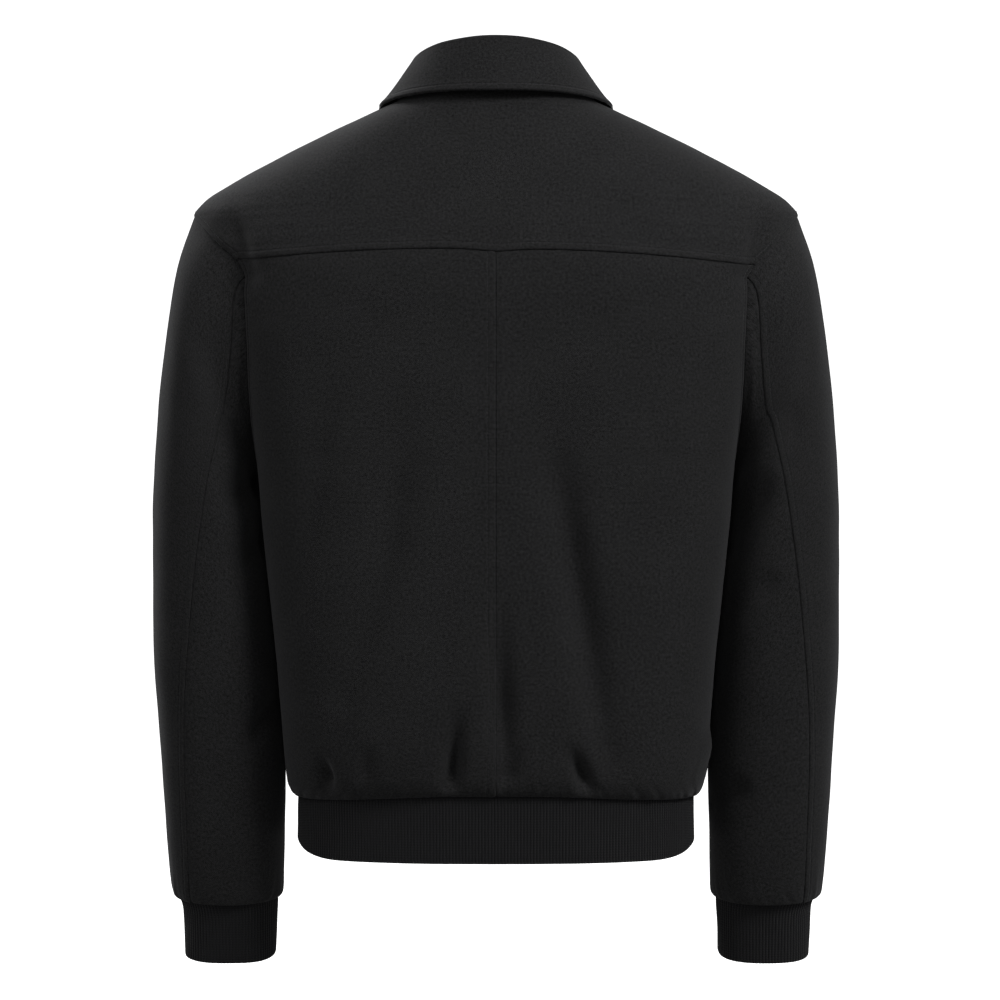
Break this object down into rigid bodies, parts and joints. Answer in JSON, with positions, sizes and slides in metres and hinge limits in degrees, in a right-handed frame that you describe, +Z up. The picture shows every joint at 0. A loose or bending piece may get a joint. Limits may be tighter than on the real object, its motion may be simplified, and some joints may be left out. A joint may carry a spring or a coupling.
{
  "type": "bomber jacket",
  "caption": "Wool bomber jacket with a shirt collar, back yoke, two-piece sleeves, a front zip and rib knit hem and cuffs, in its worn, hollow form.",
  "frame": {"origin": "middle of the neck, level with the inner ends of the shoulders, where the wearer's shoulders hold the jacket up", "axes": "+Z up, towards the collar. The front faces -Y and the back +Y. +X is the wearer's left."},
  "size_m": [0.5933, 0.2746, 0.7963],
  "materials": {
    "wool": "matt brushed wool twill, near black",
    "rib_knit": "matt rib knit, near black",
    "zip_tape": "matt woven tape, near black",
    "dark_metal": "satin dark metal"
  },
  "bodies": {
    "jacket": {"back_left": "wool", "back_right": "wool", "collar_leaf": "wool", "collar_stand": "wool", "cuff_left": "rib_knit", "cuff_right": "rib_knit", "front_left": "wool", "front_right": "wool", "hem_rib": "rib_knit", "under_sleeve_left": "wool", "under_sleeve_right": "wool", "upper_sleeve_left": "wool", "upper_sleeve_right": "wool", "yoke": "wool", "zip_slider": "dark_metal", "zip_tape_left": "zip_tape", "zip_tape_right": "zip_tape", "zip_teeth": "dark_metal"},
    "pull": {"zip_pull": "dark_metal"}
  },
  "joints": [
    {"name": "pull_hinge", "type": "hinge", "parent": "jacket", "child": "pull", "pos_m": [0, -0.10418, -0.07182], "axis": [-1, 0, 0], "range_deg": [0, 140]}
  ]
}
